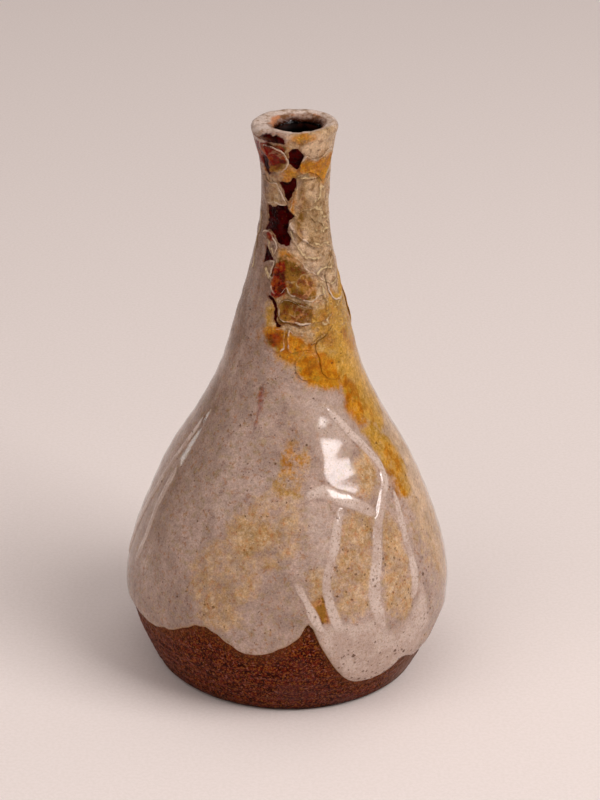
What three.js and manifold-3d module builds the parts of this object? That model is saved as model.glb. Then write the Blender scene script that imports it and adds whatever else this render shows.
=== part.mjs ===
import * as THREE from "three";
import { mergeVertices } from "three/addons/utils/BufferGeometryUtils.js";
import Module from "manifold-3d";

// A sake bottle (tokkuri): a thrown stoneware body, a glaze skin inside, a glaze coat outside
// that ends in scallops above the bare foot, cracked glaze plates on the neck, and raised glaze
// runs on the belly. Millimetres, +Z up, origin at the centre of the flat foot.
// A place on the wall is [angle, height]: degrees round the bottle, 0 at the front (-Y) and
// 90 at +X, and millimetres above the foot.

// Driving dimensions
const HEIGHT = 200;
const FOOT_RADIUS = 45.9;
const BELLY_RADIUS = 56.5;
const BELLY_HEIGHT = 31;
const NECK_RADIUS = 10.3;
const NECK_HEIGHT = 177;
const RIM_RADIUS = 12.9;
const MOUTH_RADIUS = 8.7;
const FLOOR = 7;
const INSIDE_WALL_START = 24;
const LINER_START_DEPTH = 5;
const FOOT_WALL = 6;
const NECK_WALL = 2.5;
const FOOT_BEVEL = 1.2;
const RIM_SLOPE = 0.031;
const RIM_SLOPE_START = 140;

// Layers over the clay: every layer keeps the gap to the one below it
const GAP = 0.3;
const COAT = 0.7;
const LINER = 0.5;
const PLATE = 0.6;
const RUN_RELIEF = 0.9;

// Facets
const SEGMENTS = 48;
const HEM_SEGMENTS = 96;
const ROW = 10;
const INNER_ROW = 20;
const RUN_SIDES = 8;
const RUN_STEP = 5;
const CUT_MARGIN = 8;

const COAT_TOP = HEIGHT - GAP - COAT;
const COAT_FACE = GAP + COAT;
const RELIEF_FACE = COAT_FACE + GAP;

// Outside of the clay from the foot to the rim: [height, radius]
const OUTSIDE = [
  [0, FOOT_RADIUS],
  [10, 50.8],
  [20, 54.7],
  [BELLY_HEIGHT, BELLY_RADIUS],
  [44, 54.6],
  [62, 48.4],
  [78, 41.2],
  [94, 31.9],
  [110, 24.4],
  [130, 18.7],
  [148, 14.1],
  [164, 11.2],
  [NECK_HEIGHT, NECK_RADIUS],
  [188, 11.05],
  [196, 12.5],
];

// Rounded rim from the outside to the mouth: [radius, depth below the top of the clay]
const RIM = [
  [RIM_RADIUS, 1.4],
  [RIM_RADIUS - 0.3, 0.4],
  [RIM_RADIUS - 1.3, 0],
  [10.3, 0.4],
  [9.2, 1.6],
  [MOUTH_RADIUS, 3.4],
];

// Inside corner between the wall and the floor: [radius, height above the floor]
const FLOOR_CURVE = [
  [45, 7],
  [39.5, 3.2],
  [28, 0.8],
  [0, 0],
];

// Lower edge of the outer glaze: lobes that hang down between cusps: [angle, height]
const HEM = [
  [-68, 26],
  [-55, 26],
  [-45, 28.5],
  [-38, 31.5],
  [-32, 34.4],
  [-26, 33.8],
  [-20, 30.5],
  [-12, 27.5],
  [-4, 29.8],
  [4, 34.5],
  [8, 40],
  [12, 31.5],
  [18, 21],
  [25, 14.5],
  [33, 12.6],
  [41, 14],
  [47, 17.7],
  [55, 15],
  [64, 16],
  [74, 22.5],
  [84, 19],
  [98, 14],
  [110, 16],
  [121, 24],
  [131, 31],
  [140, 23],
  [153, 18.5],
  [166, 22.5],
  [180, 30],
  [192, 24],
  [206, 18.5],
  [222, 24],
  [234, 33],
  [244, 26],
  [262, 23],
  [280, 25.5],
];

// Outlines of the glaze plates that curl away from the neck: lists of [angle, height]
const PLATES = {
  neck_plate_leaf: [
    [-46, 186.2], [-38, 188.2], [-44, 192], [-47, 195.6], [-30, 195.4], [-16, 194], [-11, 191.8],
    [-10.5, 189.5], [-16, 187.2], [-28, 186.2],
  ],
  neck_plate_collar: [
    [8, 187.2], [14, 192.6], [22, 191.4], [32, 190.6], [42, 190.9], [50, 192.6], [64, 193],
    [72, 189.5], [64, 185], [52, 182], [44, 183.6], [26, 186.2], [12, 186],
  ],
  neck_plate_grey: [
    [-62, 183.5], [-48, 182], [-32, 182.2], [-25, 180.2], [-18, 177.3], [-12, 175.2], [-20, 174.7],
    [-34, 175.2], [-48, 174.8], [-60, 176.5],
  ],
  neck_plate_broad: [
    [4, 184.4], [24, 184.6], [40, 182.4], [52, 180], [62, 174.5], [64, 166], [56, 159.5],
    [38, 159.4], [22, 161.6], [8, 164.2], [-3, 166.4], [-7, 168.8], [2, 170.6], [-7, 174],
    [-2, 177.4], [3, 180.6],
  ],
  neck_plate_tip: [
    [-57, 163.6], [-48, 164.9], [-38, 164.6], [-31, 162.6], [-25, 160.2], [-29, 157.8],
    [-37, 158.8], [-45, 161.6],
  ],
  neck_plate_olive: [
    [-22, 158.8], [-10, 159.6], [-2, 157.9], [8, 156.2], [20, 152.9], [34, 150.2], [42, 147.8],
    [42, 143.6], [32, 143.4], [25, 141.6], [14, 142.3], [6, 143.4], [-4, 144.2], [-9, 146.6],
    [-16, 144.2], [-25, 144.8], [-28.5, 148], [-26, 153],
  ],
  neck_plate_lower_grey: [
    [-46, 153.4], [-36, 154.8], [-28, 155.2], [-29, 151.6], [-33, 148.7], [-40, 150.4],
  ],
  neck_plate_rust: [
    [-15, 140.6], [-8, 142.6], [2, 141.9], [14, 140.4], [25, 139.6], [34, 141.4], [43, 141.2],
    [47, 138.2], [38, 135], [24, 134.9], [12, 134.3], [-2, 135.3], [-13, 135.9],
  ],
  neck_plate_amber_left: [
    [-24, 132.4], [-16, 133], [-7.5, 133.2], [-7, 129], [-8, 125.8], [-15, 125.2], [-22, 128],
  ],
  neck_plate_amber_middle: [
    [-3.4, 132.8], [2, 131.1], [10, 131.6], [20, 133.2], [30, 133.6], [33, 131.2], [24, 129.6],
    [19, 127.4], [18, 126], [8, 126], [-2, 125.4], [-3.8, 128.6],
  ],
  neck_plate_amber_low: [
    [4, 122.6], [11, 124.7], [19, 124.3], [23, 121.4], [22, 117.4], [14, 115.8], [6, 117.6],
  ],
  neck_plate_gold: [
    [24, 127.4], [36, 130], [48, 132.6], [57, 129], [58, 121], [50, 116.4], [38, 115],
    [28, 117.2], [26, 122],
  ],
  neck_plate_side: [
    [47, 150.2], [60, 153.2], [76, 156], [88, 152], [86, 144], [72, 139.4], [56, 140.6],
    [48, 144.5],
  ],
  neck_plate_back_high: [
    [104, 187], [122, 189.5], [142, 186], [150, 178], [138, 172], [118, 170.5], [102, 176],
  ],
  neck_plate_back_middle: [
    [118, 163], [136, 166], [158, 162], [168, 153], [152, 146], [132, 147.5], [118, 154],
  ],
  neck_plate_back_low: [
    [98, 137], [114, 141], [134, 138.5], [142, 130], [126, 123.5], [106, 126],
  ],
};

// Raised glaze runs: width, and the line they follow as [angle, height]
const RUNS = {
  glaze_run_crest: {
    width: 3.4,
    line: [[10, 80.5], [17, 81.4], [24, 79.2], [31, 76.6], [36.5, 73.6]],
  },
  glaze_run_arc: {
    width: 3.8,
    line: [
      [32, 102], [42, 96], [49, 90.5], [53.5, 85], [53, 80], [48, 75.4], [42.5, 69.8], [39, 64],
      [36.6, 57.5], [34, 51], [33, 45], [34, 38],
    ],
  },
  glaze_run_inner_branch: {
    width: 3.4,
    line: [[23, 73.6], [20.6, 69], [19, 64], [16, 58], [14.6, 52.5], [15.4, 47], [17, 41]],
  },
  glaze_run_outer_branch: {
    width: 3,
    line: [[55.6, 72.6], [54.4, 66], [54, 59], [54, 52], [53.4, 45.5]],
  },
  glaze_run_hem: {
    width: 2.6,
    line: [[4, 52.5], [6.6, 48.4], [9, 43.6], [11, 39.6]],
  },
  glaze_run_side_long: {
    width: 3.6,
    line: [[-71, 92], [-74.5, 81], [-79, 68], [-84, 55], [-86.5, 44]],
  },
  glaze_run_side_short: {
    width: 3,
    line: [[-68.5, 75], [-70.5, 64], [-70, 54], [-71, 46]],
  },
  glaze_run_back_left: {
    width: 3.6,
    line: [[-128, 96], [-124, 84], [-127, 70], [-122, 57], [-123, 47]],
  },
  glaze_run_back_middle: {
    width: 3.4,
    line: [[172, 90], [168, 78], [171, 66], [167, 55]],
  },
  glaze_run_back_right: {
    width: 3.8,
    line: [[118, 99], [124, 88], [121, 75], [125, 62], [121, 50], [123, 41]],
  },
};

const CLAY_COLOR = 0x6b3a24;
const LINER_COLOR = 0x3b2a20;
const COAT_COLOR = 0xb29b8b;
const PLATE_COLOR = 0xa67c4a;
const RUN_COLOR = 0xd2c2b6;

const wasm = await Module();
wasm.setup();

const radians = THREE.MathUtils.degToRad;
const mix = THREE.MathUtils.lerp;

// Smooth curve through [x, y] points, read at x. Its slope at a point is that of the line
// between the two points beside it.
function curveAt(points, x) {
  const last = points.length - 1;
  let i = 0;
  while (i < last - 1 && x > points[i + 1][0]) i++;
  const [x0, y0] = points[i];
  const [x1, y1] = points[i + 1];
  const before = points[Math.max(i - 1, 0)];
  const after = points[Math.min(i + 2, last)];
  const span = x1 - x0;
  const slope0 = ((y1 - before[1]) / (x1 - before[0])) * span;
  const slope1 = ((after[1] - y0) / (after[0] - x0)) * span;
  const t = (x - x0) / span;
  return (
    y0 * (2 * t ** 3 - 3 * t ** 2 + 1) +
    slope0 * (t ** 3 - 2 * t ** 2 + t) +
    y1 * (3 * t ** 2 - 2 * t ** 3) +
    slope1 * (t ** 3 - t ** 2)
  );
}

// The same points again one turn before and one turn after, so a curve closes round the bottle
function aroundTheBottle(points) {
  const shifted = (turn) => points.map(([angle, value]) => [angle + turn, value]);
  return [...shifted(-360), ...points, ...shifted(360)];
}

const hemAround = aroundTheBottle(HEM);
const hemAt = (angle) => curveAt(hemAround, angle);
const outsideRadius = (height) => curveAt(OUTSIDE, height);

function insideRadius(height) {
  if (height > NECK_HEIGHT) {
    const rise = (height - NECK_HEIGHT) / (HEIGHT - NECK_HEIGHT);
    return mix(NECK_RADIUS - NECK_WALL, MOUTH_RADIUS, rise ** 2);
  }
  return outsideRadius(height) - mix(FOOT_WALL, NECK_WALL, height / NECK_HEIGHT);
}

// Heights from low to high: the two ends and every whole row between them
function rowHeights(low, high, row) {
  const heights = [low];
  for (let k = Math.ceil(low / row + 0.25); k * row < high - row / 4; k++) heights.push(k * row);
  heights.push(high);
  return heights;
}

const wallTop = OUTSIDE[OUTSIDE.length - 1][0];
const outsideWall = (low) =>
  rowHeights(low, wallTop, ROW).map((z) => new THREE.Vector2(outsideRadius(z), z));
const rimCurve = RIM.map(([radius, depth]) => new THREE.Vector2(radius, COAT_TOP - depth));
const insideWall = rowHeights(INSIDE_WALL_START, COAT_TOP - LINER_START_DEPTH, INNER_ROW)
  .reverse()
  .map((z) => new THREE.Vector2(insideRadius(z), z));
const floorCurve = FLOOR_CURVE.map(([radius, rise]) => new THREE.Vector2(radius, FLOOR + rise));

// Moves a profile out of the clay: up the outside, over the rim and down the inside
function offset(profile, distance) {
  return profile.map((point, i) => {
    const before = profile[Math.max(i - 1, 0)];
    const after = profile[Math.min(i + 1, profile.length - 1)];
    const along = after.clone().sub(before).normalize();
    return new THREE.Vector2(point.x + along.y * distance, point.y - along.x * distance);
  });
}

// Closed profile of a layer that lies over a stretch of the clay
function layer(profile, low, high) {
  const face = offset(profile, high);
  const back = offset(profile, low).reverse();
  return [...face, ...back, face[0].clone()];
}

// Turns a profile round the axis. profileAt(angle) gives the profile at that angle, always
// with the same number of points.
function revolve(profileAt, segments = SEGMENTS) {
  const count = profileAt(0).length;
  const geometry = new THREE.LatheGeometry(profileAt(0), segments);
  const position = geometry.getAttribute("position");
  for (let s = 0; s <= segments; s++) {
    const angle = ((s % segments) / segments) * 360;
    const sine = Math.sin(radians(angle));
    const cosine = Math.cos(radians(angle));
    profileAt(angle).forEach((point, i) => {
      position.setXYZ(s * count + i, point.x * sine, point.y, point.x * cosine);
    });
  }
  return geometry.rotateX(Math.PI / 2);
}

function solidFrom(geometry) {
  const bare = geometry.clone();
  bare.deleteAttribute("normal");
  bare.deleteAttribute("uv");
  const merged = mergeVertices(bare, 1e-3);
  const triVerts = new Uint32Array(merged.index.array);
  const vertProperties = new Float32Array(merged.getAttribute("position").array);
  const solid = new wasm.Manifold(new wasm.Mesh({ numProp: 3, vertProperties, triVerts }));
  if (solid.volume() > 0) return solid;
  for (let i = 0; i < triVerts.length; i += 3) triVerts.subarray(i, i + 2).reverse();
  return new wasm.Manifold(new wasm.Mesh({ numProp: 3, vertProperties, triVerts }));
}

function geometryFrom(solid) {
  const mesh = solid.getMesh();
  const geometry = new THREE.BufferGeometry();
  geometry.setAttribute("position", new THREE.BufferAttribute(mesh.vertProperties, 3));
  geometry.setIndex(new THREE.BufferAttribute(mesh.triVerts, 1));
  geometry.computeVertexNormals();
  return geometry;
}

// The rim is a little lower on the -X side: the slope fades in above the shoulder
function slopeRim(geometry) {
  const position = geometry.getAttribute("position");
  for (let i = 0; i < position.count; i++) {
    const z = position.getZ(i);
    const fade = THREE.MathUtils.smoothstep(z, RIM_SLOPE_START, HEIGHT);
    const drop = RIM_SLOPE * (RIM_RADIUS + COAT_FACE - position.getX(i));
    position.setZ(i, z - fade * drop);
  }
  return geometry;
}

const bottle = new THREE.Group();

function addPart(name, geometry, color, roughness) {
  const material = new THREE.MeshStandardMaterial({ color, roughness, metalness: 0 });
  const mesh = new THREE.Mesh(slopeRim(geometry), material);
  mesh.name = name;
  bottle.add(mesh);
}

// Thrown clay body, hollow and open at the mouth
function stonewareBody() {
  const foot = [new THREE.Vector2(0, 0), new THREE.Vector2(FOOT_RADIUS - FOOT_BEVEL, 0)];
  const profile = [...foot, ...outsideWall(FOOT_BEVEL), ...rimCurve, ...insideWall, ...floorCurve];
  return revolve(() => profile);
}

// Outer glaze from the scalloped hem up the wall and over the rim: a whole layer, cut by a
// ring whose top edge is the hem
function glazeCoat() {
  const wholeLayer = layer([...outsideWall(ROW), ...rimCurve], GAP, COAT_FACE);
  const inner = FOOT_RADIUS - CUT_MARGIN;
  const outer = BELLY_RADIUS + CUT_MARGIN;
  const bareFoot = revolve((angle) => {
    const hem = hemAt(angle);
    const corners = [[inner, 0], [outer, 0], [outer, hem], [inner, hem], [inner, 0]];
    return corners.map(([radius, z]) => new THREE.Vector2(radius, z));
  }, HEM_SEGMENTS);
  return geometryFrom(solidFrom(revolve(() => wholeLayer)).subtract(solidFrom(bareFoot)));
}

// Inner glaze from just below the rim down to the middle of the floor
function linerGlaze() {
  const clay = [...insideWall, ...floorCurve];
  const profile = layer(clay, GAP, GAP + LINER);
  profile[clay.length - 1].x = 0;
  profile[clay.length].x = 0;
  return revolve(() => profile);
}

// A thin shell of glaze over the coat, to cut plates and runs from
function reliefShell(thickness) {
  const shell = layer(outsideWall(ROW), RELIEF_FACE, RELIEF_FACE + thickness);
  return solidFrom(revolve(() => shell));
}

// A plate is the piece of shell inside a prism that points outward at the plate's middle
function neckPlate(outline, shell) {
  const angles = outline.map(([angle]) => angle);
  const middle = (Math.min(...angles) + Math.max(...angles)) / 2;
  const shape = new THREE.Shape(
    outline.map(([angle, z]) => {
      const radius = outsideRadius(z) + RELIEF_FACE;
      return new THREE.Vector2(radius * Math.sin(radians(angle - middle)), z);
    }),
  );
  const prism = new THREE.ExtrudeGeometry(shape, { depth: BELLY_RADIUS, bevelEnabled: false });
  prism.rotateX(Math.PI / 2);
  prism.rotateZ(radians(middle));
  return geometryFrom(solidFrom(prism).intersect(shell));
}

// A run is a round bead, sunk so that only its crest stands out of the coat
function glazeRun({ width, line }, shell) {
  const bead = (width ** 2 / 4 + RUN_RELIEF ** 2) / (2 * RUN_RELIEF);
  const depth = RELIEF_FACE + RUN_RELIEF - bead;
  const points = line.map(([angle, z]) => {
    const radius = outsideRadius(z) + depth;
    return new THREE.Vector3(
      radius * Math.sin(radians(angle)),
      -radius * Math.cos(radians(angle)),
      z,
    );
  });
  const path = new THREE.CatmullRomCurve3(points);
  const section = new THREE.Shape(
    Array.from({ length: RUN_SIDES }, (_, k) => {
      const turn = (k / RUN_SIDES) * 2 * Math.PI;
      return new THREE.Vector2(bead * Math.cos(turn), bead * Math.sin(turn));
    }),
  );
  const steps = Math.ceil(path.getLength() / RUN_STEP);
  const tube = new THREE.ExtrudeGeometry(section, { extrudePath: path, steps });
  return geometryFrom(solidFrom(tube).intersect(shell));
}

addPart("stoneware_body", stonewareBody(), CLAY_COLOR, 0.85);
addPart("liner_glaze", linerGlaze(), LINER_COLOR, 0.3);
addPart("glaze_coat", glazeCoat(), COAT_COLOR, 0.25);

const plateShell = reliefShell(PLATE);
for (const [name, outline] of Object.entries(PLATES)) {
  addPart(name, neckPlate(outline, plateShell), PLATE_COLOR, 0.35);
}

const runShell = reliefShell(2 * RUN_RELIEF);
for (const [name, run] of Object.entries(RUNS)) {
  addPart(name, glazeRun(run, runShell), RUN_COLOR, 0.2);
}

export default bottle;
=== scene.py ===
"""Finely modelled surfaces of a stoneware sake bottle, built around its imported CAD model.

Inside the functions, lengths are millimetres and angles are degrees round the bottle: 0 at the
front (-Y), 90 at +X. A place on the wall is (angle, height).
"""

import math

import bpy
import numpy as np
from mathutils import Matrix, Vector


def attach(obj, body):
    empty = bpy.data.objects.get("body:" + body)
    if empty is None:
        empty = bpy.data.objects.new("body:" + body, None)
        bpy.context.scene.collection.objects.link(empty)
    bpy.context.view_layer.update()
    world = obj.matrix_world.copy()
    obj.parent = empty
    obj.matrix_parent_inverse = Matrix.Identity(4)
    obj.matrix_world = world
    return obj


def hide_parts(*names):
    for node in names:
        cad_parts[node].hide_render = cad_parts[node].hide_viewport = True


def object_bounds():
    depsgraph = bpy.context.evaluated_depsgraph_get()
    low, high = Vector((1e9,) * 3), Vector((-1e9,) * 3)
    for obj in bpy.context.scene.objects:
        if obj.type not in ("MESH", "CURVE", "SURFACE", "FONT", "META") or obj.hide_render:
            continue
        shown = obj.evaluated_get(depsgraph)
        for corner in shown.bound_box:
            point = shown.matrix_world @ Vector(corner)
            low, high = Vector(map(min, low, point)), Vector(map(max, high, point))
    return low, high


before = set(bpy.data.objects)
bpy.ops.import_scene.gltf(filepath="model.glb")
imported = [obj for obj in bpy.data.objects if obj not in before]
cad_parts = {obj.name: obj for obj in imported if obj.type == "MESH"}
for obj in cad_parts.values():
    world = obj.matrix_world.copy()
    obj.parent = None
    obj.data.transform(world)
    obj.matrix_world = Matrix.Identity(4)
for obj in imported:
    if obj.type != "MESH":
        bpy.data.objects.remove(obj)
cad_low, cad_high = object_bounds()

# ---------------------------------------------------------------- sizes

HEIGHT = 200
MM = (cad_high.z - cad_low.z) / HEIGHT
CLAY_TOP = 199
COAT = 1.0
COLUMNS = 310
RIM_SLOPE = 0.031
RIM_SLOPE_START = 140
RIM_RAISE = 1.3
MOUTH_SHIFT = 0.6
LEFT_LIP = 1.0

# The CAD body's outside as (height, radius), and its rim as (radius, depth below the top)
OUTSIDE = [
    (0, 45.9), (10, 50.8), (20, 54.7), (31, 56.5), (44, 54.6), (62, 48.4), (78, 41.2), (94, 31.9),
    (110, 24.4), (130, 18.7), (148, 14.1), (164, 11.2), (177, 10.3), (188, 11.05), (196, 12.5),
]
RIM = [
    (12.95, 1.6), (13.15, 0.75), (13.0, 0.2), (12.5, 0), (11, 0.15), (9.7, 0.5), (9.05, 1.1), (8.75, 2.2),
    (8.6, 3.4),
]

# The inside from the mouth down, and its floor, as (radius, height). They follow the CAD body
INSIDE = [
    (8.3, 193), (8, 188), (7.85, 182), (7.8, 176), (8.1, 168), (9.3, 158), (11.2, 148), (14.9, 132),
    (19.8, 114), (26.3, 98), (36.9, 78), (43.9, 62), (49.6, 44), (50.8, 32), (49.6, 23),
]
FLOOR = [(45.6, 15), (42.5, 11.8), (38, 9.6), (28, 7.8), (14, 7.1), (0, 7)]

# Lower edge of the glaze round the bottle: lobes that hang between cusps
HEM = [
    (-68, 26), (-55, 26), (-45, 28.5), (-38, 31.5), (-32, 34.4), (-26, 33.8), (-20, 30.5), (-12, 27.5),
    (-4, 29.8), (4, 34.5), (8, 40), (12, 31.5), (18, 21), (25, 14.5), (33, 12.6), (41, 14), (47, 17.7),
    (55, 15), (64, 16), (74, 22.5), (84, 19), (98, 14), (110, 16), (121, 24), (131, 31), (140, 23),
    (153, 18.5), (166, 22.5), (180, 30), (192, 24), (206, 18.5), (222, 24), (234, 33), (244, 26),
    (262, 23), (280, 25.5),
]

# ---------------------------------------------------------------- curves and soft noise


def wrapped(angle):
    return (angle + 180) % 360 - 180


def curve(points, x):
    """Smooth curve through (x, y) points, read at the values x."""
    px, py = np.array(points, float).T
    slope = np.empty_like(py)
    slope[1:-1] = (py[2:] - py[:-2]) / (px[2:] - px[:-2])
    slope[0] = (py[1] - py[0]) / (px[1] - px[0])
    slope[-1] = (py[-1] - py[-2]) / (px[-1] - px[-2])
    i = np.clip(np.searchsorted(px, x) - 1, 0, len(px) - 2)
    span = px[i + 1] - px[i]
    t = (x - px[i]) / span
    return (
        py[i] * (2 * t**3 - 3 * t**2 + 1)
        + slope[i] * span * (t**3 - 2 * t**2 + t)
        + py[i + 1] * (3 * t**2 - 2 * t**3)
        + slope[i + 1] * span * (t**3 - t**2)
    )


def smooth_step(low, high, x):
    t = np.clip((x - low) / (high - low), 0, 1)
    return t * t * (3 - 2 * t)


def smooth_path(points, steps):
    """Evenly spaced points along a smooth curve through (x, y) points."""
    points = np.array(points, float)
    length = np.r_[0, np.cumsum(np.hypot(*np.diff(points, axis=0).T))]
    at = np.linspace(0, length[-1], steps)
    return np.stack([curve(list(zip(length, column)), at) for column in points.T], axis=-1)


def soft_noise(angle, height, cells_round, cell_height, seed):
    """Soft random values from -1 to 1 that close round the bottle."""
    rows = 97
    table = np.random.default_rng(seed).uniform(-1, 1, (rows, cells_round))
    u = (angle % 360) / 360 * cells_round
    v = height / cell_height + 7
    iu = np.floor(u).astype(int)
    iv = np.floor(v).astype(int)
    fu = smooth_step(0, 1, u - iu)
    fv = smooth_step(0, 1, v - iv)
    left, right = iu % cells_round, (iu + 1) % cells_round
    low, high = iv % rows, (iv + 1) % rows
    lower = table[low, left] * (1 - fu) + table[low, right] * fu
    upper = table[high, left] * (1 - fu) + table[high, right] * fu
    return lower * (1 - fv) + upper * fv


def waves(phase, count, seed):
    """Soft random values from -1 to 1 along a line, with count of them in 360 degrees of phase."""
    return soft_noise(phase, 0 * phase, count, 1, seed)


def solid_noise(angle, height, cell, seed):
    """Soft random values from -1 to 1 whose cells have one size everywhere on the wall."""
    rows = 32
    table = np.random.default_rng(seed).uniform(-1, 1, (rows, rows, rows))
    radius = near_radius(height)
    turn = np.radians(angle)
    at = np.stack([radius * np.sin(turn), radius * np.cos(turn), height + 0 * turn], axis=-1)
    at = at / cell + 4 * rows
    low = np.floor(at).astype(int)
    share = smooth_step(0, 1, at - low)
    total = 0
    for corner in range(8):
        step = np.array([corner & 1, corner >> 1 & 1, corner >> 2 & 1])
        weight = np.prod(np.where(step, share, 1 - share), axis=-1)
        i, j, k = np.moveaxis((low + step) % rows, -1, 0)
        total = total + weight * table[i, j, k]
    return total


HEM_ROUND = [(a + turn, z) for turn in (-360, 0, 360) for a, z in HEM]


def hem_height(angle):
    """Height of the glaze's lower edge."""
    return curve(HEM_ROUND, wrapped(angle)) + 0.35 * waves(angle, 150, 3)


# ---------------------------------------------------------------- the clay's section


def outside_radius(height):
    return curve(OUTSIDE, height)


def near_radius(height):
    """The outside radius, kept at the rim's for places on the lip."""
    return outside_radius(np.clip(height, 0, OUTSIDE[-1][0]))


def wall_point(height, lift):
    """(radius, height) of a point that stands lift above the outside of the clay."""
    slope = outside_radius(height + 0.5) - outside_radius(height - 0.5)
    size = np.sqrt(1 + slope**2)
    return outside_radius(height) + lift / size, height - lift * slope / size


def place(angle, radius, height):
    """Points of the bottle in metres. Near the top the rim slopes down towards -X and reaches
    further out there, and the mouth sits to the right of the rim's middle."""
    turn = np.radians(angle)
    top = smooth_step(182, 198, height)
    reach = radius + LEFT_LIP * top * smooth_step(10, 13, radius) * np.clip(-np.sin(turn), 0, 1)
    x = reach * np.sin(turn) + MOUTH_SHIFT * top * smooth_step(12, 9.5, radius)
    y = -reach * np.cos(turn)
    drop = RIM_SLOPE * (RIM[0][0] + COAT - x) * smooth_step(RIM_SLOPE_START, HEIGHT, height)
    raised = height + RIM_RAISE * smooth_step(165, 197, height)
    return np.stack([x, y, raised - drop], axis=-1) * MM


def section_normals(section):
    along = np.gradient(section, axis=0)
    along /= np.linalg.norm(along, axis=1, keepdims=True)
    return np.c_[along[:, 1], -along[:, 0]]


LIP = smooth_path([(12.1, 194), (12.5, 196)] + [(r, CLAY_TOP - d) for r, d in RIM] + INSIDE[:2], 44)

# ---------------------------------------------------------------- meshes


def add_mesh(node, points, faces, layers, material):
    """A piece with its paint layers, which rides on the bottle and replaces a CAD node."""
    name = node + "_surface"
    mesh = bpy.data.meshes.new(name)
    mesh.from_pydata(points.reshape(-1, 3).tolist(), [], faces)
    mesh.update()
    mesh.shade_smooth()
    mesh.materials.append(material)
    for layer, values in layers.items():
        attribute = mesh.attributes.new(layer, "FLOAT", "POINT")
        attribute.data.foreach_set("value", np.asarray(values, np.float32).ravel())
    piece = bpy.data.objects.new(name, mesh)
    bpy.context.scene.collection.objects.link(piece)
    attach(piece, "root")
    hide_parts(node)


def ring_faces(rings, columns, closed):
    """Quads between rings of columns points; closed joins the last ring to the first."""
    faces = []
    for i in range(rings if closed else rings - 1):
        low = i * columns
        high = (i + 1) % rings * columns
        for j in range(columns):
            k = (j + 1) % columns
            faces.append((low + j, low + k, high + k, high + j))
    return faces


def capped_faces(rings, columns):
    """The faces of a closed skin: its rings, then a centre point for each end."""
    faces = ring_faces(rings, columns, False)
    last = (rings - 1) * columns
    centre = rings * columns
    for j in range(columns):
        k = (j + 1) % columns
        faces.append((k, j, centre))
        faces.append((last + j, last + k, centre + 1))
    return faces


def round_angles(columns):
    return np.arange(columns) / columns * 360 - 180


# ---------------------------------------------------------------- glaze patterns

# Where the glaze crawled away and the dark red one under it shows
OXBLOOD = [
    [(-60, 190), (-55, 191.4), (-48, 190.6), (-45, 187.4), (-43, 184.8), (-49, 184), (-56, 186)],
    [(-58, 197.4), (-44, 198.8), (-28, 199), (-16, 198.2), (-13, 196.6), (-24, 196.6), (-40, 197)],
    [(-11, 193.6), (-4, 195), (4, 194.8), (12, 192.6), (13.5, 190.6), (8, 188.6), (3, 187.3), (-5, 188.4),
     (-9.5, 189.8)],
    [(-28, 182.5), (-12, 182.8), (-2, 184.5), (4, 184), (2.5, 180.5), (-3, 178), (-10, 175.8),
     (-15, 178.2), (-21, 180.4)],
    [(-52, 173.8), (-30, 174.4), (-13, 174.6), (-9, 172.9), (-3, 172.4), (2.5, 171.4), (-6, 169.9),
     (-10, 168.4), (-9, 166.2), (-4, 163.4), (-6, 161.1), (-20, 160.6), (-26, 161.6), (-30, 163.6),
     (-38, 165.2), (-57, 164.8), (-48, 167), (-46, 170.2)],
    [(-47.5, 160.2), (-42, 159.2), (-37, 157.2), (-30, 155.3), (-40, 154.5), (-46.5, 153.6)],
    [(-32.5, 143.9), (-26, 142.8), (-20, 141.2), (-17, 138.4), (-16.6, 135.4), (-12, 133.8), (-17, 133.5),
     (-20, 135.4), (-20.4, 138.6), (-23, 140.4), (-28, 142)],
    [(128, 189), (140, 187.4), (150, 181), (146, 178.6), (138, 184), (126, 187.4)],
    [(150, 168), (158, 164), (168, 158), (172, 152), (166, 154), (156, 161.6)],
    [(206, 176), (214, 179), (222, 175), (218, 168), (208, 166), (203, 170)],
]

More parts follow.
